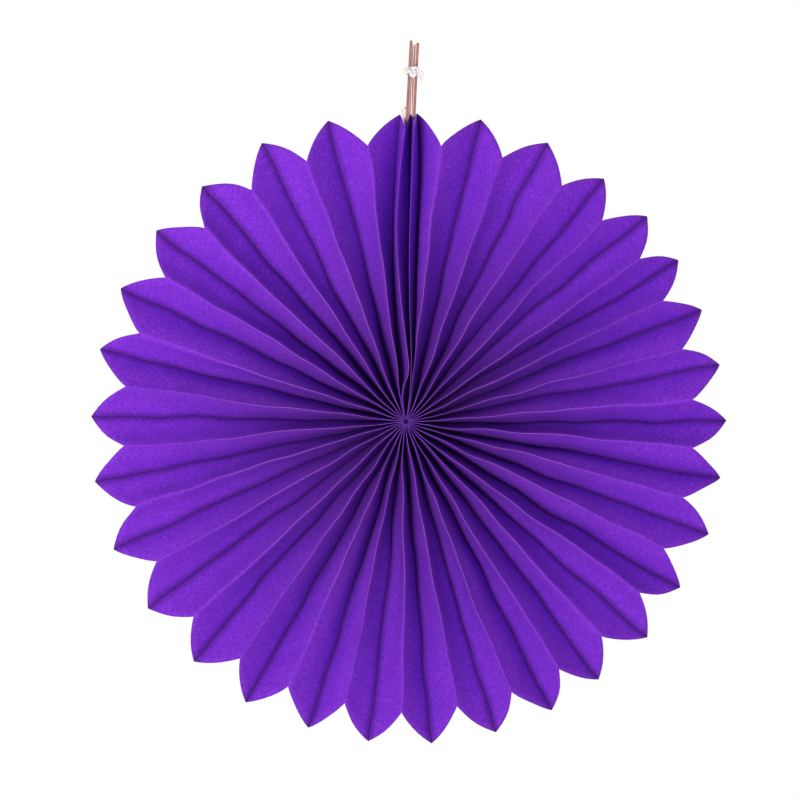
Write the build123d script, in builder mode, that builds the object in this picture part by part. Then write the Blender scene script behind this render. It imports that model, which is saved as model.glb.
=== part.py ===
from build123d import *
import math
import os

# Tissue paper fan rosette, opened to a full circle and tied by its two card handles.
# Millimetres. The disc stands in the XZ plane, its front faces -Y and +Z is up.
# The origin is the centre of the hub, halfway through the depth of the pleats.
# Directions round the disc are angles in degrees, clockwise from +Z as seen from the front.

# The pleated strip: 66 panels, folded forward and back in turn, from one side of the seam
# at the top, round the disc, to the other side. Even folds are at the back, odd ones in front.
petals = 30                 # full petals; one squeezed petal more stands each side of the seam
panel_width = 18.0          # across one panel, from its front fold to its back fold
sheet = 0.2                 # wall of a panel, several layers of tissue laid together
tip_radius = 125.0          # circle through the petal tips, at the back folds
petal_length = 12.5         # from there in to the notches, at the front folds
petal_bulge = 0.8           # how far the cut edge bows out of a straight line
rim_centre_x = 0.8          # the rim's circle isn't quite centred on the hub
rim_centre_z = -2.2
hub_pitch = 1.22            # from fold to fold round the hub, in walls
hub_hole_margin = 0.4       # the inner ends stop this far outside the circle of that pitch
fold_web_hub = 0.4          # paper left behind a fold's tip, near the hub
fold_web_rim = 0.26         # and at the rim, where the folds open
least_fold_flat = 0.04      # half of the narrowest flat on a fold's tip

# How the pleats are spread: the first and last full ridge, and the waves of their crowding
first_ridge = 6.3
last_ridge = 352.0
spread_once = -8.4
spread_twice = 2.8
spread_thrice = 1.45

# The seam, where the strip's two ends stand face to face
seam_lean = 1.0
end_panel_back = 0.3        # half of the gap between the two end panels, at the back
end_panel_front = 1.3       # and in front, at the rim
end_panel_short = 3.0       # how far the end panels' back corners stop below the petal tips

# Card handles, glued to the outer side of each end panel and standing up above the rim
card_thickness = 1.0
card_width = 8.0
card_glued = 37.0           # length below the petal tips, inside the pleat
card_stand = 26.0           # length above them
card_back_inset = 0.6       # from the panels' back folds to the card's back edge
card_glue_gap = 0.25        # between the card and its panel
card_pocket_gap = 0.36      # between the card's foot and the squeezed petal beside it
card_corner = 0.5           # cut off the card's four corners

# Cotton thread: a drawstring through the hub, and the tie round the handles
hub_thread_diameter = 0.4
hub_thread_inset = 1.6      # from the panels' inner ends out to the drawstring's ring
hub_thread_clearance = 0.12
tie_diameter = 0.9
tie_rise = 13.3             # above the petal tips
tie_turns = 2
tie_clearance = 0.1
knot_radius = 2.0
knot_flat = 0.75            # height and depth of the knot over its width
tail_length = 4.2
tail_leans = (8, 24)        # degrees out from straight down

panels = 2 * petals + 6
half_width = panel_width / 2
notch_radius = tip_radius - petal_length
pack_radius = hub_pitch * sheet * (panels + 1) / (2 * math.pi)
hub_hole_radius = pack_radius + hub_hole_margin
hub_thread_ring = hub_hole_radius + hub_thread_inset
loft_end = tip_radius + 8.0
rim_centre = Vector(rim_centre_x, 0, rim_centre_z)
card_foot = tip_radius - card_glued
card_top = tip_radius + card_stand
tie_height = tip_radius + tie_rise

# A handle fills the pleat between its end panel and the squeezed petal, so that petal's fold
# stands far enough from the seam to clear the handle's front edge, down at its foot.
foot_share = card_foot / tip_radius
pocket_share = (panel_width - card_back_inset - card_width) / panel_width
card_offset = end_panel_back + sheet / 2 + card_glue_gap
card_slant = (end_panel_front - end_panel_back) / panel_width
card_front_offset = card_offset + card_width * card_slant
pocket_edge = card_front_offset + card_thickness + sheet + card_pocket_gap
pocket_start = end_panel_front * foot_share * (1 - pocket_share)
squeezed_fold = (pocket_edge - pocket_start) / pocket_share / foot_share


def outward(angle):
    """The direction in the disc's plane at an angle clockwise from +Z."""
    return Vector(math.sin(math.radians(angle)), 0, math.cos(math.radians(angle)))


def sideways(angle):
    """The direction clockwise round the disc at an angle."""
    return Vector(math.cos(math.radians(angle)), 0, -math.sin(math.radians(angle)))


def spread_angle(fold):
    """The angle of one of the full pleats' folds, numbered from the first ridge."""
    part = fold / (2 * petals)
    even = first_ridge + (last_ridge - first_ridge) * part
    return (
        even
        + spread_once * math.sin(math.pi * part)
        + spread_twice * math.sin(2 * math.pi * part)
        + spread_thrice * math.sin(3 * math.pi * part)
    )


def on_rim(angle, radius):
    """The point at an angle about the hub on a circle about the rim's centre."""
    way = outward(angle)
    along = rim_centre.dot(way)
    across = rim_centre.dot(sideways(angle))
    return way * (along + math.sqrt(radius**2 - across**2))


def seam_point(offset, radius):
    """The point of a seam fold: beside the leaning seam line, at a radius about the rim's centre."""
    angle = seam_lean + math.degrees(math.asin(offset / radius))
    return on_rim(angle, radius)


def rim_point(fold):
    """Where a fold ends at the rim: back folds at a petal's tip, front folds in a notch."""
    side = 1 if fold <= petals else -1
    from_seam = fold if side > 0 else panels - fold
    if from_seam == 0:
        return seam_point(side * end_panel_back, tip_radius - end_panel_short)
    if from_seam == 1:
        return seam_point(side * end_panel_front, notch_radius)
    if from_seam == 2:
        return seam_point(side * squeezed_fold, tip_radius)
    radius = notch_radius if fold % 2 else tip_radius
    return on_rim(spread_angle(fold - 3), radius)


def hub_point(fold):
    """Where a fold starts: all of them stand evenly side by side round the hub."""
    return outward((fold + 0.5) * 360 / (panels + 1)) * pack_radius


hub_points = [hub_point(fold) for fold in range(panels + 1)]
rim_points = [rim_point(fold) for fold in range(panels + 1)]


def chord_at_rim(fold):
    """The mean distance from a fold's rim point to the folds beside it, level with the notches."""
    near = [n for n in (fold - 1, fold + 1) if 0 <= n <= panels]
    reach = notch_radius / rim_points[fold].length
    here = rim_points[fold] * reach
    there = [rim_points[n] * (notch_radius / rim_points[n].length) for n in near]
    return sum((here - point).length for point in there) / len(near)


def half_depth_at_rim(fold):
    """Half of the pleats' depth at the notches: a panel keeps its width as its folds part."""
    return math.sqrt(panel_width**2 - chord_at_rim(fold) ** 2) / 2


def along_fold(fold, facing, distance):
    """A fold's point level with a section plane, as (offset, half depth, web) in that plane."""
    start = hub_points[fold]
    way = rim_points[fold] - start
    reach = (distance - start.dot(outward(facing))) / way.dot(outward(facing))
    point = start + way * reach
    depth = half_width + (half_depth_at_rim(fold) - half_width) * reach
    web = fold_web_hub + (fold_web_rim - fold_web_hub) * reach
    return point.dot(sideways(facing)), depth, web


def panel_section(front, back, facing, distance):
    """A panel's section: a thin slanting wall with half of a fold's tip at each end."""
    front_x, front_y, front_web = along_fold(front, facing, distance)
    back_x, back_y, back_web = along_fold(back, facing, distance)
    side = 1 if back_x > front_x else -1
    run = abs(back_x - front_x)
    rise = front_y + back_y
    web = (front_web + back_web) / 2
    flat = (sheet * math.hypot(run, rise) - web * run) / (rise - 2 * web)
    flat = side * max(flat, least_fold_flat)
    return [
        (front_x, -front_y),
        (front_x + flat, -front_y),
        (back_x, back_y - back_web),
        (back_x, back_y),
        (back_x - flat, back_y),
        (front_x, -front_y + front_web),
    ]


def make_panel(fold):
    """One panel, from this fold to the next, cut to its half of a petal at the rim."""
    front, back = (fold, fold + 1) if fold % 2 else (fold + 1, fold)
    middle = rim_points[fold] / rim_points[fold].length + rim_points[fold + 1] / rim_points[fold + 1].length
    facing = math.degrees(math.atan2(middle.X, middle.Z))
    across = sideways(facing)
    notch = rim_points[front]
    tip = rim_points[back]
    bow = (tip - notch).cross(Vector(0, 1, 0)).normalized()
    if bow.dot(outward(facing)) < 0:
        bow = bow * -1
    crest = (notch + tip) / 2 + bow * petal_bulge
    margin = across * (2.0 if (tip - notch).dot(across) > 0 else -2.0)
    low = outward(facing) * -1.0
    with BuildPart() as panel:
        for distance in (pack_radius, loft_end):
            plane = Plane(outward(facing) * distance, x_dir=across, z_dir=outward(facing))
            with BuildSketch(plane):
                with BuildLine():
                    Polyline(*panel_section(front, back, facing, distance), close=True)
                make_face()
        loft(ruled=True)
        with BuildSketch(Plane.XZ):
            with BuildLine(Plane.XZ):
                ThreePointArc(*(Plane.XZ.to_local_coords(p) for p in (notch, crest, tip)))
                corners = (
                    tip,
                    tip + margin,
                    low + across * tip.dot(across) + margin,
                    low + across * notch.dot(across) - margin,
                    notch - margin,
                    notch,
                )
                Polyline(*(Plane.XZ.to_local_coords(p) for p in corners))
            make_face()
        extrude(amount=panel_width, both=True, mode=Mode.INTERSECT)
        with BuildSketch(Plane.XZ):
            Circle(hub_hole_radius)
        extrude(amount=panel_width, both=True, mode=Mode.SUBTRACT)
        with Locations(Plane.XZ):
            Torus(hub_thread_ring, hub_thread_diameter / 2 + hub_thread_clearance, mode=Mode.SUBTRACT)
    return panel.part


all_panels = [make_panel(fold) for fold in range(panels)]

with BuildPart() as pleated_fan:
    add(all_panels)

with BuildPart() as hub_thread:
    with Locations(Plane.XZ):
        Torus(hub_thread_ring, hub_thread_diameter / 2)


# A handle lies flat on the outer face of its end panel, so it takes the panel's slant.
card_back = half_depth_at_rim(0) - card_back_inset
card_front = card_back - card_width


def make_card(side):
    """A card handle on one side of the seam, upright along the leaning seam line."""
    seam_plane = Plane((0, 0, 0), x_dir=sideways(seam_lean), z_dir=outward(seam_lean))
    with BuildPart() as card:
        with BuildSketch(seam_plane.offset(card_foot)):
            with BuildLine():
                Polyline(
                    (side * card_offset, card_back),
                    (side * card_front_offset, card_front),
                    (side * (card_front_offset + card_thickness), card_front),
                    (side * (card_offset + card_thickness), card_back),
                    close=True,
                )
            make_face()
        extrude(amount=card_top - card_foot)
        corners = card.edges().filter_by(lambda e: abs(e.length - card_thickness) < card_thickness / 100)
        chamfer(corners, card_corner)
    return card.part


end_card_right = make_card(1)
end_card_left = make_card(-1)


# The tie: turns of thread round both handles, a knot in front and two short tails
tie_plane = Plane(outward(seam_lean) * tie_height, x_dir=sideways(seam_lean), z_dir=outward(seam_lean))
tie_reach = tie_diameter / 2 + tie_clearance
loop_front = card_front - tie_reach
loop_back = card_back + tie_reach
loop_front_x = card_front_offset + card_thickness + tie_reach
loop_back_x = card_offset + card_thickness + tie_reach
loop_corner = tie_diameter * 0.7
knot_centre = tie_plane.from_local_coords(Vector(0, loop_front - knot_radius * knot_flat / 2, 0))
knot_plane = Plane(knot_centre, x_dir=tie_plane.x_dir, z_dir=(0, -1, 0))

with BuildPart() as tie_thread:
    for turn in range(tie_turns):
        turn_plane = tie_plane.offset((turn - (tie_turns - 1) / 2) * tie_diameter * 0.9)
        with BuildLine(turn_plane) as loop:
            Polyline(
                (0, loop_front),
                (loop_front_x, loop_front),
                (loop_back_x, loop_back),
                (-loop_back_x, loop_back),
                (-loop_front_x, loop_front),
                close=True,
            )
            corners = loop.vertices().filter_by(lambda v: abs(v.X - turn_plane.origin.X) > tie_reach)
            fillet(corners, loop_corner)
        with BuildSketch(Plane(loop.line @ 0, z_dir=loop.line % 0)):
            Circle(tie_diameter / 2)
        sweep(path=loop.line)
    with BuildSketch(knot_plane):
        Ellipse(knot_radius, knot_radius * knot_flat)
    extrude(amount=knot_radius * knot_flat / 2, both=True)
    for lean in tail_leans:
        tail_root = knot_centre + sideways(seam_lean) * knot_radius / 2
        with BuildSketch(Plane(tail_root, z_dir=outward(180 - lean))):
            Circle(tie_diameter / 2)
        extrude(amount=tail_length)

pleated_fan.part.label = "pleated_fan"
end_card_left.label = "end_card_left"
end_card_right.label = "end_card_right"
hub_thread.part.label = "hub_thread"
tie_thread.part.label = "tie_thread"

os.makedirs("parts", exist_ok=True)
export_step(pleated_fan.part, "parts/pleated_fan.step")
export_step(end_card_left, "parts/end_card_left.step")
export_step(end_card_right, "parts/end_card_right.step")
export_step(hub_thread.part, "parts/hub_thread.step")
export_step(tie_thread.part, "parts/tie_thread.step")
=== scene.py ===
import bmesh
import bpy
import math
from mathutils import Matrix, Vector, noise


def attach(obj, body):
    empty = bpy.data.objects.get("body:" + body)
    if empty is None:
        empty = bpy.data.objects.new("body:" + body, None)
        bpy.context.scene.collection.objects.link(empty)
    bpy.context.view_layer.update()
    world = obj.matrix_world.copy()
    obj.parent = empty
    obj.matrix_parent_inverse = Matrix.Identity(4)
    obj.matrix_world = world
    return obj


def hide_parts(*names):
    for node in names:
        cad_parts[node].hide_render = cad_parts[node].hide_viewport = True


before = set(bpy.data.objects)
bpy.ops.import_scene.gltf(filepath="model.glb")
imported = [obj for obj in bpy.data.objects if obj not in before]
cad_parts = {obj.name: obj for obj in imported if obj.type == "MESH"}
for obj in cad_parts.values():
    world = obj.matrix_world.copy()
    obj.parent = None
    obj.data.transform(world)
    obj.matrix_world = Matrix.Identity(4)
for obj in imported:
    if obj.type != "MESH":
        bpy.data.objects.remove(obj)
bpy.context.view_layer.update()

# Tissue paper fan rosette: one pleated strip of purple tissue, opened to a full disc and tied at
# the top by two card handles. Lengths below are millimetres unless a comment says otherwise, and the
# disc faces -Y with its hub at the origin, as in the frame.
MM = 0.001

# The pleated strip
PETALS = 30
PANELS = 2 * PETALS + 6
PANEL_WIDTH = 18.0
TISSUE_THICKNESS = 0.09
HUB_RADIUS = 0.05
TIP_RADIUS = 126.6
NOTCH_RADIUS = 112.6
PETAL_CROWN = 0.094          # how far the cut bows past a straight line, over the petal's length
CUT_JITTER = 0.35            # each fold's end is cut this much long or short
RIM_CENTRE = (0.85, -2.25)   # the rim's circle isn't quite centred on the hub

# How the pleats are spread round the disc: angles in degrees, clockwise from the top
FIRST_RIDGE, LAST_RIDGE = 6.8, 352.5
CROWDING = (-8.4, 2.8, 1.45, 0.8, 0.2, 0.7)   # the waves in the pleats' spacing
BUNCHED_BY = 2.1             # a few pleats are pushed aside by this angle
BUNCHED_FOLD, BUNCHED_SPREAD = 7.5, 2.6       # counted in folds
RIM_JITTER = 0.25
GATHER_DRIFT = 9.0           # how unevenly the folds are packed round the hub
EASE, EASE_SPREAD = 13.0, 7.0                 # the length in which a fold finds its own angle

# How far folds stray from straight lines, and panels from flat ones. A period is a wave's length
# along the fold, and a growth is where, out from the hub, an unevenness starts and is full.
WAVE_GAIN = 1.6              # brings the noise up to about -1 to 1
FINE_WOBBLE, FINE_PERIOD, FINE_GROWTH = 0.6, 15.0, (3, 14)
SLOW_WOBBLE, SLOW_PERIOD, SLOW_GROWTH = 0.8, 50.0, (10, 60)
DEPTH_JITTER, DEPTH_PERIOD, DEPTH_GROWTH = 0.5, 40.0, (8, 50)
DEPTH_LOSS = 0.5             # paper taken up by the folds' own rounding
WIDEST_GAP = 0.8             # of a panel's width: folds never part further than this
BACK_ROUND = 0.22            # how far a back fold's rounding reaches into its panels
FRONT_ROUND_HUB, FRONT_ROUND_RIM, FRONT_ROUND_JITTER = 0.4, 1.9, 1.1
FRONT_ROUND_GROWTH = (35, 100)
PANEL_BOW, PANEL_BOW_JITTER, PANEL_BOW_WAVE = 0.35, 0.5, 0.6
PANEL_BOW_PERIOD, PANEL_BOW_GROWTH = 45.0, (10, 70)

# The strip's grid: rows from the hub to the rim, and shares across a panel from its front fold
ROWS = 48
ROW_CROWDING = 1.35          # above 1, the rows stand closer near the hub
ACROSS = (0.0, 0.02, 0.05, 0.09, 0.15, 0.25, 0.4, 0.56, 0.72, 0.86, 0.955, 0.99)

# The folds beside the seam, as (height above the hub, distance right of the hub) along each one,
# and how far each runs from the hub. The strip's last fold lies against its first.
SEAM_GATHER = 8.0            # nearer the hub than this, these folds bend towards the gather
SEAM_GAP = 0.04              # between the strip's two ends
SEAM_PATHS = {
    0: ((0, 0.2), (20, 1.75), (60, 1.35), (90, 1.7), (118, 2.1), (130, 2.3)),
    1: ((0, 0.5), (10, 1.5), (24, 2.1), (48, 1.4), (74, 1.4), (98, 2.45), (112, 2.9), (130, 3.9)),
    2: ((0, 0.8), (20, 3.6), (60, 4.2), (88, 5.2), (105, 5.4), (118, 4.7), (124, 4.2), (130, 4.0)),
    PANELS - 2: ((0, -0.7), (14, -2.6), (30, -3.6), (60, -4.9), (90, -4.4), (123, -2.3), (130, -2.0)),
    PANELS - 1: ((0, -0.4), (9, -1.5), (13, -1.1), (20, 1.2), (30, 0.2), (49, -2.1), (76, -3.9),
                 (98, -2.5), (110, -1.1), (116, -0.3), (130, 1.0)),
}
SEAM_PATHS[PANELS] = tuple((height, right - SEAM_GAP) for height, right in SEAM_PATHS[0])
SEAM_ENDS = {0: 122.0, 1: 118.5, 2: 122.6, PANELS - 2: 122.0, PANELS - 1: 115.5, PANELS: 122.0}

# The card handles: the paths of the front edge and of the back edge, as (height, distance right of
# the hub), and the top. Above the rim they open towards the front like a V.
CARD_THICKNESS = 1.1
CARD_FOOT = 88.2
CARD_DEPTH = (0.4, 8.35)
CARD_CORNER = 0.3
CARD_SLICES = 40
CARDS = {
    "left": (((80, -1.9), (88, -1.45), (104, -0.75), (116, 0.1), (134, 1.15), (152, 2.12)),
             ((80, 0.9), (88, 0.95), (104, 1.2), (116, 1.38), (134, 1.8), (152, 2.7)), 150.8),
    "right": (((80, 2.6), (88, 2.7), (104, 2.95), (116, 3.2), (134, 3.95), (152, 4.95)),
              ((80, 2.4), (88, 2.45), (104, 2.6), (116, 2.78), (134, 3.04), (152, 3.94)), 149.9),
}

# The pale paper liner that has come off the left card's foot: a thin flap above the rim
FLAP_THICKNESS = 0.12
FLAP_FOOT = 115.6

# Cotton thread. A lay is the length of one full twist of its strands.
STRANDS = 3
STRAND_RADIUS = 0.56         # over the thread's radius
STRAND_OFFSET = 0.5          # the same, from the thread's middle to a strand's
FRAY, FRAY_PERIOD = 0.12, 1.5

# The tie: two slack turns round both cards, a doubled overhand knot in front, and two tails
TIE_HEIGHT = 138.3
TIE_RADIUS = 0.5
TIE_LAY = 2.8
TIE_STEP = 0.3               # between points along the middle line
TIE_CLEARANCE = 0.12
TIE_TURNS, TURN_RISE, TURN_SLACK = 2, 1.7, 0.35
KNOT_STEPS, KNOT_ROUNDS, KNOT_START = 44, 1.93, 75
KNOT_WIDTH, KNOT_HEIGHT, KNOT_DEPTH = 0.92, 0.76, 0.8
KNOT_DRAWN_IN = 0.42         # how much smaller the knot's course is where it ends
KNOT_FORWARD = 2.1
TAILS = (
    ((5.0, -1.9, 137.4), (5.8, -1.8, 136.0), (6.1, -1.6, 134.2)),
    ((5.4, -2.4, 138.8), (6.4, -2.3, 138.0), (6.8, -2.2, 136.4)),
)

# The drawstring is pulled tight, so its ring lies close round the hub inside the pleats
DRAWSTRING_RING = 1.1
DRAWSTRING_RADIUS = 0.2
DRAWSTRING_LAY = 1.2
DRAWSTRING_POINTS = 48

# The camera, lamps, floor and studio. These lengths are metres, and the lamps' powers are watts.
VIEW_DISTANCE = 1.5
VIEW_WIDTH = 0.3165
VIEW_CENTRE = (-0.0023, 0.0085)
SENSOR_WIDTH = 36            # millimetres, as a lens's length is
FLOOR_DROP = 0.33
FLOOR_RADIUS = 1.15
FLOOR_FADE = (0.35, FLOOR_RADIUS * 0.95)
AMBIENT = 0.45


def linear(hex_colour):
    """An sRGB hex colour as linear RGBA."""
    values = [int(hex_colour[i:i + 2], 16) / 255 for i in (1, 3, 5)]
    return [v / 12.92 if v <= 0.04045 else ((v + 0.055) / 1.055) ** 2.4 for v in values] + [1.0]


def chance(fold, kind):
    """A fixed number from -1 to 1 for one fold. Kind is a seed, one for each unevenness."""
    return noise.cell(Vector((fold * 1.7 + 0.3, kind * 5.1 + 0.2, 0.5))) * 2 - 1


def wave(length, fold, kind, period):
    """A smooth wave from about -1 to 1 along a fold."""
    return noise.noise(Vector((length / period, fold * 3.71, kind * 9.13))) * WAVE_GAIN


def blend_step(low, high, value):
    """0 below low, 1 above high, smooth between them."""
    x = min(max((value - low) / (high - low), 0.0), 1.0)
    return x * x * (3 - 2 * x)


def path_at(path, height):
    """The sideways place at a height along a given path, on a smooth curve through its points."""
    heights = [p[0] for p in path]
    n = max(i for i in range(len(path) - 1) if heights[i] <= max(height, heights[0]))
    before = path[max(n - 1, 0)]
    a, b = path[n], path[n + 1]
    after = path[min(n + 2, len(path) - 1)]
    span = b[0] - a[0]
    t = (height - a[0]) / span
    slope_a = (b[1] - before[1]) / (b[0] - before[0]) * span
    slope_b = (after[1] - a[1]) / (after[0] - a[0]) * span
    return (
        a[1] * (2 * t**3 - 3 * t**2 + 1)
        + slope_a * (t**3 - 2 * t**2 + t)
        + b[1] * (3 * t**2 - 2 * t**3)
        + slope_b * (t**3 - t**2)
    )


def rim_angle(fold):
    """A full pleat's fold at the rim, in degrees clockwise from the top."""
    part = (fold - 3) / (2 * PETALS)
    angle = FIRST_RIDGE + (LAST_RIDGE - FIRST_RIDGE) * part
    for n, size in enumerate(CROWDING, start=1):
        angle += size * math.sin(n * math.pi * part)
    angle += BUNCHED_BY * math.exp(-((fold - BUNCHED_FOLD) / BUNCHED_SPREAD) ** 2 / 2)
    return angle + chance(fold, 1) * RIM_JITTER


def hub_angle(fold):
    """A fold's even place in the gather at the hub, in degrees clockwise from the top."""
    return (fold + 0.5) * 360 / (PANELS + 1)


def fold_angle(fold, length):
    """The angle of a full pleat's fold at a distance from the hub."""
    drift = noise.noise(Vector((fold * 0.16, 3.3, 7.7))) * math.sin(math.pi * fold / PANELS)
    at_hub = hub_angle(fold) + GATHER_DRIFT * drift
    at_rim = rim_angle(fold)
    ease = EASE + EASE_SPREAD * noise.noise(Vector((fold * 0.3, 8.1, 2.2)))
    return at_rim + (at_hub - at_rim) * math.exp(-length / ease)


def fold_flat(fold, length):
    """A fold's (right, up) place in the disc's plane at a distance from the hub."""
    if fold in SEAM_PATHS:
        near = min(length / SEAM_GATHER, 1)
        sideways = path_at(SEAM_PATHS[fold], length)
        start = 0.0 if fold in (0, PANELS) else hub_angle(fold)
        gathered = math.sin(math.radians(start)) * length
        right = gathered * (1 - near) + sideways * near
        return right, math.sqrt(max(length**2 - right**2, 0.01))
    angle = math.radians(fold_angle(fold, length))
    wobble = wave(length, fold, 2, FINE_PERIOD) * FINE_WOBBLE * blend_step(*FINE_GROWTH, length)
    wobble += wave(length, fold, 3, SLOW_PERIOD) * SLOW_WOBBLE * blend_step(*SLOW_GROWTH, length)
    return (
        math.sin(angle) * length + math.cos(angle) * wobble,
        math.cos(angle) * length - math.sin(angle) * wobble,
    )


def fold_depth(fold, length):
    """Half of the pleats' depth at a fold: a panel keeps its width as its folds part."""
    here = Vector(fold_flat(fold, length))
    near = [n for n in (fold - 1, fold + 1) if 0 <= n <= PANELS]
    gap = sum((Vector(fold_flat(n, length)) - here).length for n in near) / len(near)
    gap = min(gap, PANEL_WIDTH * WIDEST_GAP)
    uneven = chance(fold, 4) * DEPTH_JITTER + wave(length, fold, 5, DEPTH_PERIOD) * DEPTH_JITTER
    uneven *= blend_step(*DEPTH_GROWTH, length)
    return math.sqrt(PANEL_WIDTH**2 - gap**2) / 2 + uneven - DEPTH_LOSS


def fold_point(fold, length):
    """A point of a fold line in space. Odd folds are in front, even ones at the back."""
    right, up = fold_flat(fold, length)
    side = -1 if fold % 2 else 1
    return Vector((right, side * fold_depth(fold, length), up))


def fold_length(fold):
    """How far a fold runs from the hub before the petals' cut ends it."""
    if fold in SEAM_ENDS:
        return SEAM_ENDS[fold]
    angle = math.radians(rim_angle(fold))
    way = Vector((math.sin(angle), math.cos(angle)))
    centre = Vector(RIM_CENTRE)
    radius = NOTCH_RADIUS if fold % 2 else TIP_RADIUS
    length = centre.dot(way) + math.sqrt(radius**2 - centre.cross(way) ** 2)
    return length + chance(fold, 6) * CUT_JITTER


def fold_round(fold, length):
    """How far a fold's rounding reaches into its panels: front folds soften towards the rim."""
    if fold % 2 == 0:
        return BACK_ROUND
    at_rim = FRONT_ROUND_RIM + chance(fold, 7) * FRONT_ROUND_JITTER
    grown = blend_step(*FRONT_ROUND_GROWTH, length)
    return FRONT_ROUND_HUB + (at_rim - FRONT_ROUND_HUB) * grown


def panel_point(panel, share, length):
    """A point of a panel: share is 0 at its lower-numbered fold and 1 at the next."""
    near, far = fold_point(panel, length), fold_point(panel + 1, length)
    for fold, here, other, gone in ((panel, near, far, share), (panel + 1, far, near, 1 - share)):
        reach = fold_round(fold, length) / PANEL_WIDTH
        neighbour = fold - 1 if fold == panel else fold + 1
        if gone < reach and 0 <= neighbour <= PANELS:
            mine = here.lerp(other, reach)
            theirs = here.lerp(fold_point(neighbour, length), reach)
            t = 0.5 + 0.5 * gone / reach
            return theirs * (1 - t) ** 2 + here * 2 * t * (1 - t) + mine * t**2
    point = near.lerp(far, share)
    normal = (far - near).cross(Vector((point.x, 0, point.z))).normalized()
    swell = math.sin(math.pi * share) ** 2 * blend_step(*PANEL_BOW_GROWTH, length)
    bow = PANEL_BOW + chance(panel, 8) * PANEL_BOW_JITTER
    bow += wave(length, panel, 9, PANEL_BOW_PERIOD) * PANEL_BOW_WAVE
    beside_card = panel in (0, 1, PANELS - 2, PANELS - 1)
    return point + normal * (0.0 if beside_card else bow) * swell


def tissue_strip():
    """The strip as one grid, folded, fanned and cut, with its flat sheet kept as the UV map."""
    columns = []
    for panel in range(PANELS):
        shares = ACROSS if panel % 2 else [0.0] + [1 - a for a in reversed(ACROSS[1:])]
        columns += [(panel, share) for share in shares]
    columns.append((PANELS - 1, 1.0))
    bm = bmesh.new()
    bmesh.ops.create_grid(bm, x_segments=len(columns) - 1, y_segments=ROWS, size=0.5)
    ends = [fold_length(fold) for fold in range(PANELS + 1)]
    flat = {}
    for vert in bm.verts:
        column = round((vert.co.x + 0.5) * (len(columns) - 1))
        row = round((vert.co.y + 0.5) * ROWS)
        panel, share = columns[column]
        from_front = share if panel % 2 else 1 - share
        front, back = (panel, panel + 1) if panel % 2 else (panel + 1, panel)
        cut = from_front + PETAL_CROWN * 4 * from_front * (1 - from_front)
        end = ends[front] + (ends[back] - ends[front]) * cut
        length = HUB_RADIUS + (end - HUB_RADIUS) * (row / ROWS) ** ROW_CROWDING
        vert.co = panel_point(panel, share, length) * MM
        flat[vert.index] = ((panel + share) * PANEL_WIDTH * MM, length * MM)
    layer = bm.loops.layers.uv.new("flat_sheet")
    for face in bm.faces:
        face.smooth = True
        for loop in face.loops:
            loop[layer].uv = flat[loop.vert.index]
    return bm


def card_handle(side):
    """A strip of card with softened cut edges, bent along its paths. Its faces are material 1."""
    front_path, back_path, top = CARDS[side]
    height = top - CARD_FOOT
    depth = CARD_DEPTH[1] - CARD_DEPTH[0]
    bm = bmesh.new()
    bmesh.ops.create_cube(bm, size=1.0)
    bmesh.ops.scale(bm, vec=(CARD_THICKNESS, depth, height), verts=bm.verts)
    bmesh.ops.bevel(bm, geom=bm.edges[:], offset=CARD_CORNER, segments=3, profile=0.5,
                    affect="EDGES", material=-1)
    for n in range(1, CARD_SLICES):
        cut_at = height * (n / CARD_SLICES - 0.5)
        bmesh.ops.bisect_plane(bm, geom=bm.verts[:] + bm.edges[:] + bm.faces[:],
                               plane_co=(0, 0, cut_at), plane_no=(0, 0, 1))
    bm.normal_update()
    for face in bm.faces:
        face.smooth = True
        face.material_index = 1 if abs(face.normal.x) > 0.95 else 0
    for vert in bm.verts:
        up = CARD_FOOT + height / 2 + vert.co.z
        share = vert.co.y / depth + 0.5
        middle = path_at(front_path, up) * (1 - share) + path_at(back_path, up) * share
        vert.co = Vector((middle + vert.co.x, CARD_DEPTH[0] + share * depth, up)) * MM
    return bm


def lifted_liner():
    """The liner's flap, pointed at its foot and wider at its top."""
    bm = bmesh.new()
    bmesh.ops.create_grid(bm, x_segments=6, y_segments=8, size=0.5)
    for vert in bm.verts:
        across, up = vert.co.x + 0.5, vert.co.y + 0.5
        right_edge = Vector((-0.15 + 0.6 * up, 1.4, FLAP_FOOT + 9.2 * up))
        left_edge = Vector((-0.2 - 1.45 * up, 2.6 + 0.8 * up, FLAP_FOOT + 8.4 * up))
        vert.co = right_edge.lerp(left_edge, across) * MM
    bmesh.ops.solidify(bm, geom=bm.faces[:], thickness=FLAP_THICKNESS * MM)
    bmesh.ops.recalc_face_normals(bm, faces=bm.faces)
    for face in bm.faces:
        face.smooth = True
    return bm


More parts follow.
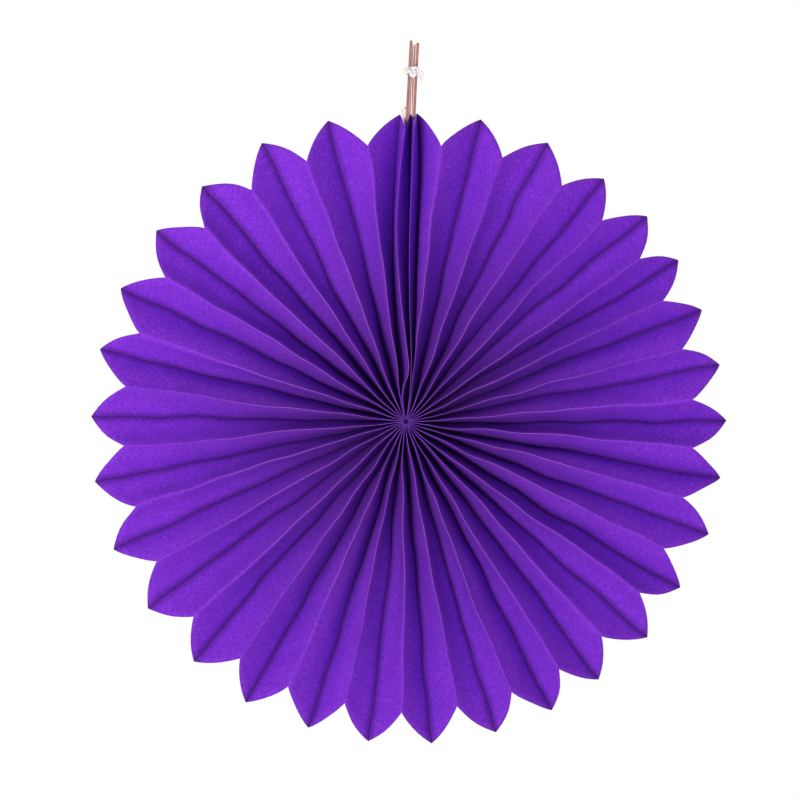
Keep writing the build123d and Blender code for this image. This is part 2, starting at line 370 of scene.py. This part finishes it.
def tie_route():
    """The tie's middle line, from one tail's end to the other's."""
    front, back = CARD_DEPTH
    left = path_at(CARDS["left"][0], TIE_HEIGHT) - CARD_THICKNESS / 2
    right = path_at(CARDS["right"][0], TIE_HEIGHT) + CARD_THICKNESS / 2
    middle = (left + right) / 2
    gap = TIE_RADIUS + TIE_CLEARANCE
    corners = (
        (middle, front - gap, 0.0),
        (right + 0.1, front - gap, -0.2),
        (right + gap, front + 1.2, -0.2),
        (right + gap - 0.45, back - 1.0, 0.3),
        (right - 0.7, back + gap, 0.5),
        (middle + 0.1, back + gap, 0.4),
        (left + 1.2, back + gap, 0.3),
        (left - gap + 0.9, back - 1.0, 0.3),
        (left - gap, front + 1.2, 0.5),
        (left - gap - 0.55, front - 0.6, 0.5),
    )
    turns = []
    for turn in range(TIE_TURNS):
        rise = TIE_HEIGHT - 1.0 + TURN_RISE * turn
        slack = TURN_SLACK * turn
        turns += [(x - (slack if x < left else 0), y - 0.15 * turn, rise + z) for x, y, z in corners]
    knot = []
    for n in range(KNOT_STEPS + 1):
        done = n / KNOT_STEPS
        t = math.radians(KNOT_START) + done * 2 * math.pi * KNOT_ROUNDS
        draw_in = 1.0 - KNOT_DRAWN_IN * done
        knot.append((
            middle + 0.1 + KNOT_WIDTH * draw_in * (math.sin(t) + 2 * math.sin(2 * t)),
            front - KNOT_FORWARD - 0.5 * done + KNOT_DEPTH * math.sin(3 * t),
            TIE_HEIGHT + 0.2 + KNOT_HEIGHT * draw_in * (math.cos(t) - 2 * math.cos(2 * t)),
        ))
    return [*reversed(TAILS[1]), *turns, *knot, *TAILS[0]]


def spline_points(route, step):
    """Even points along the smooth curve that has the route as its control points."""
    data = bpy.data.curves.new("route", "CURVE")
    data.dimensions = "3D"
    spline = data.splines.new("NURBS")
    spline.points.add(len(route) - 1)
    for point, place in zip(spline.points, route):
        point.co = (*place, 1.0)
    spline.order_u = 3
    spline.use_endpoint_u = True
    spline.resolution_u = 16
    guide = bpy.data.objects.new("route", data)
    line = [v.co.copy() for v in bpy.data.meshes.new_from_object(guide).vertices]
    bpy.data.objects.remove(guide)
    even, spare = [line[0]], 0.0
    for a, b in zip(line, line[1:]):
        run = (b - a).length
        at = step - spare
        while at <= run:
            even.append(a.lerp(b, at / run))
            at += step
        spare = run - (at - step)
    return even


def twisted_thread(name, centre_line, radius, lay, closed, material):
    """Strands laid round a centre line, each a round tube, joined as one mesh."""
    data = bpy.data.curves.new(name, "CURVE")
    data.dimensions = "3D"
    data.bevel_depth = radius * STRAND_RADIUS * MM
    data.bevel_resolution = 2
    data.use_fill_caps = not closed
    travelled = 0.0
    side = Vector((0.3, 0.2, 1.0))
    frames = []
    count = len(centre_line)
    for n, point in enumerate(centre_line):
        ahead = centre_line[(n + 1) % count] if closed or n + 1 < count else point
        behind = centre_line[n - 1] if closed or n else point
        way = (ahead - behind).normalized()
        side = (side - way * side.dot(way)).normalized()
        frames.append((point, side.copy(), way.cross(side), travelled))
        travelled += (ahead - point).length
    twists = max(round(travelled / lay), 1) if closed else travelled / lay
    for strand in range(STRANDS):
        spline = data.splines.new("POLY")
        spline.points.add(len(frames) - 1)
        spline.use_cyclic_u = closed
        for spot, (point, right, up, gone) in zip(spline.points, frames):
            turn = 2 * math.pi * (strand / STRANDS + twists * gone / travelled)
            fray = 1.0 + FRAY * wave(gone, strand, 31, FRAY_PERIOD)
            out = (right * math.cos(turn) + up * math.sin(turn)) * radius * STRAND_OFFSET * fray
            spot.co = (*((point + out) * MM), 1.0)
    guide = bpy.data.objects.new(name + "_guide", data)
    mesh = bpy.data.meshes.new_from_object(guide)
    bpy.data.objects.remove(guide)
    mesh.name = name
    mesh.materials.clear()
    mesh.materials.append(material)
    for face in mesh.polygons:
        face.use_smooth = True
    piece = bpy.data.objects.new(name, mesh)
    bpy.context.scene.collection.objects.link(piece)
    return piece


def piece_from(bm, name, *materials):
    """A finished bmesh as an object of the scene."""
    mesh = bpy.data.meshes.new(name)
    bm.to_mesh(mesh)
    bm.free()
    piece = bpy.data.objects.new(name, mesh)
    bpy.context.scene.collection.objects.link(piece)
    for material in materials:
        mesh.materials.append(material)
    return piece


class Shader:
    """The node tree of a material or a world, with functions that add nodes and their links."""

    def __init__(self, owner):
        self.owner = owner
        owner.use_nodes = True
        self.tree = owner.node_tree
        self.tree.nodes.clear()

    def add(self, kind, settings=None, **inputs):
        """A node. An input is named as its socket is, or _ and the socket's number."""
        made = self.tree.nodes.new(kind)
        for key, value in (settings or {}).items():
            setattr(made, key, value)
        for key, value in inputs.items():
            by_number = key[1:].isdigit()
            socket = made.inputs[int(key[1:]) if by_number else key.replace("_", " ")]
            if isinstance(value, bpy.types.NodeSocket):
                self.tree.links.new(value, socket)
            else:
                socket.default_value = value
        return made

    def blend(self, share, first, second):
        """A colour that goes from the first to the second."""
        kind = {"data_type": "RGBA"}
        return self.add("ShaderNodeMix", kind, _0=share, _6=first, _7=second).outputs[2]

    def ramp(self, value, start, end, low=0.0, high=1.0):
        """A number that goes smoothly from low to high as the value goes from start to end."""
        kind = {"interpolation_type": "SMOOTHSTEP"}
        made = self.add("ShaderNodeMapRange", kind, Value=value, From_Min=start, From_Max=end,
                        To_Min=low, To_Max=high)
        return made.outputs[0]

    def maths(self, kind, first, second):
        """A number worked out from two others."""
        return self.add("ShaderNodeMath", {"operation": kind}, _0=first, _1=second).outputs[0]

    def noise(self, place, size, **inputs):
        """Cloudy noise whose blots are about this many millimetres across."""
        made = self.add("ShaderNodeTexNoise", Vector=place, Scale=1 / (size * MM), **inputs)
        return made.outputs["Fac"]

    def stretched(self, place, scale):
        """A place whose axes are scaled, so that noise on it has long grains."""
        return self.add("ShaderNodeMapping", Vector=place, Scale=scale).outputs[0]

    def bump(self, height, strength, distance, **inputs):
        """A surface roughened by a height, over a distance in millimetres."""
        made = self.add("ShaderNodeBump", Height=height, Strength=strength,
                        Distance=distance * MM, **inputs)
        return made.outputs["Normal"]

    def finish(self, colour, roughness, specular, normal):
        """The material, with its surface."""
        surface = self.add("ShaderNodeBsdfPrincipled", Base_Color=colour, Roughness=roughness,
                           Normal=normal, Specular_IOR_Level=specular)
        self.add("ShaderNodeOutputMaterial", Surface=surface.outputs[0])
        return self.owner


def tissue_paper(name, from_behind):
    """Dyed tissue paper, calendered and matt: mottled fibres; front ridges painted pale near the hub,
    partly as worn fibres and partly as painted highlight; a painted highlight on the panels' tops at
    the gather; painted shade along the creases; a darker colour towards the hub as painted shade
    where the pleats lie close together; and painted shade at the hub's middle. What is a crease on
    the front is a ridge on the back."""
    s = Shader(bpy.data.materials.new(name))
    sheet = s.add("ShaderNodeUVMap", {"uv_map": "flat_sheet"}).outputs["UV"]
    place = s.add("ShaderNodeSeparateXYZ", Vector=sheet)
    out_from_hub = place.outputs["Y"]
    from_crease = s.maths("PINGPONG", place.outputs["X"], PANEL_WIDTH * MM)
    if from_behind:
        from_crease = s.maths("SUBTRACT", PANEL_WIDTH * MM, from_crease)
    fibres = s.noise(s.stretched(sheet, (1.0, 0.45, 1.0)), 0.75, Detail=5.0, Roughness=0.75)
    clouds = s.noise(sheet, 7.0, Detail=3.0, Roughness=0.6)
    wrinkles = s.noise(sheet, 5.0, Detail=2.0, Roughness=0.5)
    rim_side = s.blend(s.ramp(fibres, 0.32, 0.68), linear("#681eb2"), linear("#943ce6"))
    clouded = s.blend(s.ramp(clouds, 0.35, 0.7, 0.0, 0.45), rim_side, linear("#7224c2"))
    # Towards the hub the body colour is darker and redder: painted shade for the deep, close pleats
    # there.
    hub_side_painted_shade = s.blend(s.ramp(fibres, 0.32, 0.68), linear("#632393"), linear("#8138c4"))
    body = s.blend(s.ramp(out_from_hub, 6 * MM, 114 * MM), hub_side_painted_shade, clouded)
    # The front ridges are painted pale, most near the hub: partly worn fibres, partly painted
    # highlight.
    on_ridge = s.ramp(from_crease, (PANEL_WIDTH - 0.42) * MM, (PANEL_WIDTH - 0.06) * MM)
    near_hub = s.ramp(out_from_hub, 30 * MM, 95 * MM, 0.95, 0.12)
    worn_and_highlit = s.blend(s.maths("MULTIPLY", on_ridge, near_hub), body, linear("#a662d0"))
    # Painted highlight: the front part of each panel is lighter at the gather round the hub.
    top_of_panel = s.ramp(from_crease, (PANEL_WIDTH - 3.5) * MM, (PANEL_WIDTH - 0.6) * MM)
    at_gather = s.ramp(out_from_hub, 5 * MM, 16 * MM, 0.95, 0.0)
    painted_hub_highlight = s.blend(s.maths("MULTIPLY", top_of_panel, at_gather), worn_and_highlit, linear("#b060f6"))
    # Painted shade along the creases: a thin dark line, and a broader soft band that is fainter near
    # the hub.
    wide_shade = s.maths("MULTIPLY", s.ramp(from_crease, 0.3 * MM, 4.2 * MM, 0.5, 0.0),
                         s.ramp(out_from_hub, 15 * MM, 60 * MM, 0.3, 1.0))
    in_crease = s.maths("MAXIMUM", s.ramp(from_crease, 0.15 * MM, 1.0 * MM, 0.85, 0.0), wide_shade)
    crease_painted_shade = s.blend(in_crease, painted_hub_highlight, linear("#370f5e"))
    # Painted shade: nearly black at the very middle of the hub.
    at_hub = s.ramp(out_from_hub, 0.7 * MM, 1.5 * MM, 0.96, 0.0)
    gathered = s.blend(at_hub, crease_painted_shade, linear("#260a38"))
    grain = s.bump(fibres, 0.35, 0.06)
    return s.finish(gathered, 0.85, 0.2, s.bump(wrinkles, 0.3, 0.35, Normal=grain))


def card_edge():
    """Guillotined edge of brown board: thin plies side by side, with short torn fibres."""
    s = Shader(bpy.data.materials.new("cut_brown_board_edge"))
    here = s.add("ShaderNodeTexCoord").outputs["Object"]
    plies = s.noise(s.stretched(here, (1.0, 1.0, 0.06)), 0.22, Detail=3.0)
    torn = s.noise(here, 0.5, Detail=4.0, Roughness=0.7)
    brown = s.blend(s.ramp(plies, 0.35, 0.65), linear("#945c56"), linear("#bb857d"))
    fuzzy = s.blend(s.ramp(torn, 0.5, 0.8, 0.0, 0.35), brown, linear("#d3a79f"))
    return s.finish(fuzzy, 0.9, 0.2, s.bump(plies, 0.4, 0.08))


def card_liner():
    """Pale paper liner on the board's faces: smooth, with faint pulp flecks."""
    s = Shader(bpy.data.materials.new("pale_board_liner"))
    here = s.add("ShaderNodeTexCoord").outputs["Object"]
    pulp = s.noise(here, 0.9, Detail=5.0, Roughness=0.7)
    pale = s.blend(s.ramp(pulp, 0.3, 0.75), linear("#f8dcd8"), linear("#fff0ed"))
    return s.finish(pale, 0.7, 0.3, s.bump(pulp, 0.2, 0.05))


def cotton_thread():
    """Bleached soft-laid cotton: matt white with a fine fuzz along the strands."""
    s = Shader(bpy.data.materials.new("bleached_cotton_thread"))
    here = s.add("ShaderNodeTexCoord").outputs["Object"]
    fuzz = s.noise(here, 0.16, Detail=3.0, Roughness=0.7)
    strand = s.noise(here, 1.3, Detail=2.0)
    white = s.blend(s.ramp(fuzz, 0.3, 0.7), linear("#e9dfe0"), linear("#faf6f5"))
    tinted = s.blend(s.ramp(strand, 0.45, 0.75, 0.0, 0.3), white, linear("#e3d3d8"))
    return s.finish(tinted, 0.95, 0.15, s.bump(fuzz, 0.5, 0.05))


tissue = tissue_paper("dyed_tissue_paper", False)
tissue_back = tissue_paper("dyed_tissue_paper_back", True)
edge, liner, cotton = card_edge(), card_liner(), cotton_thread()

fan = piece_from(tissue_strip(), "folded_tissue", tissue, tissue_back)
wall = fan.modifiers.new("wall", "SOLIDIFY")
wall.thickness = TISSUE_THICKNESS * MM
wall.offset = 0
wall.material_offset = 1

handle_left = piece_from(card_handle("left"), "card_handle_left", edge, liner)
handle_right = piece_from(card_handle("right"), "card_handle_right", edge, liner)
liner_flap = piece_from(lifted_liner(), "card_liner_flap", liner)
tie = twisted_thread("cotton_tie", spline_points(tie_route(), TIE_STEP), TIE_RADIUS, TIE_LAY,
                     False, cotton)
ring = [Vector((math.sin(t) * DRAWSTRING_RING, 0, math.cos(t) * DRAWSTRING_RING))
        for t in (n / DRAWSTRING_POINTS * 2 * math.pi for n in range(DRAWSTRING_POINTS))]
drawstring = twisted_thread("cotton_drawstring", ring, DRAWSTRING_RADIUS, DRAWSTRING_LAY,
                            True, cotton)

for piece, node, slot in (
    (fan, "pleated_fan", "tissue"),
    (handle_left, "end_card_left", "card"),
    (liner_flap, None, "card"),
    (handle_right, "end_card_right", "card"),
    (tie, "tie_thread", "thread"),
    (drawstring, "hub_thread", "thread"),
):
    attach(piece, "root")
    if node:
        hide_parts(node)

camera_data = bpy.data.cameras.new("camera")
camera = bpy.data.objects.new("camera", camera_data)
bpy.context.scene.collection.objects.link(camera)
camera.location = (VIEW_CENTRE[0], -VIEW_DISTANCE, VIEW_CENTRE[1])
camera.rotation_euler = (math.pi / 2, 0, 0)
camera_data.sensor_width = SENSOR_WIDTH
camera_data.lens = SENSOR_WIDTH * VIEW_DISTANCE / VIEW_WIDTH
bpy.context.scene.camera = camera
bpy.context.scene.view_settings.view_transform = "Standard"


def soft_lamp(name, place, size, power):
    """A square soft light that points at the hub."""
    data = bpy.data.lights.new(name, "AREA")
    data.size = size
    data.energy = power
    lamp = bpy.data.objects.new(name, data)
    bpy.context.scene.collection.objects.link(lamp)
    lamp.location = place
    lamp.rotation_euler = (-Vector(place)).to_track_quat("-Z", "Y").to_euler()


soft_lamp("key", (-0.6, -1.6, -0.42), size=0.6, power=34)
soft_lamp("back_fill", (0.6, 1.6, 0.5), size=0.8, power=20)

# A pale round floor well below the hanging fan. The camera sees it fade to white at its edge.
disc = bmesh.new()
bmesh.ops.create_circle(disc, cap_ends=True, segments=96, radius=FLOOR_RADIUS)
bmesh.ops.translate(disc, vec=(0, 0, -FLOOR_DROP), verts=disc.verts)
paint = Shader(bpy.data.materials.new("pale_floor"))
spot = paint.add("ShaderNodeTexCoord").outputs["Object"]
level = paint.add("ShaderNodeVectorMath", {"operation": "MULTIPLY"}, _0=spot, _1=(1, 1, 0))
reach = paint.add("ShaderNodeVectorMath", {"operation": "LENGTH"}, _0=level.outputs[0])
seen = paint.add("ShaderNodeLightPath").outputs["Is Camera Ray"]
fade = paint.maths("MULTIPLY", paint.ramp(reach.outputs["Value"], *FLOOR_FADE), seen)
matt = paint.add("ShaderNodeBsdfDiffuse", Color=linear("#f2f2f2")).outputs[0]
glow = paint.add("ShaderNodeEmission", Color=(1, 1, 1, 1), Strength=1.0).outputs[0]
both = paint.add("ShaderNodeMixShader", _0=fade, _1=matt, _2=glow).outputs[0]
paint.add("ShaderNodeOutputMaterial", Surface=both)
piece_from(disc, "floor", paint.owner)

# The studio: an even dim fill, and plain white wherever the camera, gloss or glass looks past the fan
bpy.context.scene.world = bpy.data.worlds.new("studio")
room = Shader(bpy.context.scene.world)
rays = room.add("ShaderNodeLightPath")
direct = room.maths("MAXIMUM", rays.outputs["Is Camera Ray"], rays.outputs["Is Glossy Ray"])
direct = room.maths("MAXIMUM", direct, rays.outputs["Is Transmission Ray"])
fill = room.add("ShaderNodeBackground", Color=(1, 1, 1, 1), Strength=AMBIENT).outputs[0]
white = room.add("ShaderNodeBackground", Color=(1, 1, 1, 1), Strength=1.0).outputs[0]
mixed = room.add("ShaderNodeMixShader", _0=direct, _1=fill, _2=white).outputs[0]
room.add("ShaderNodeOutputWorld", Surface=mixed)
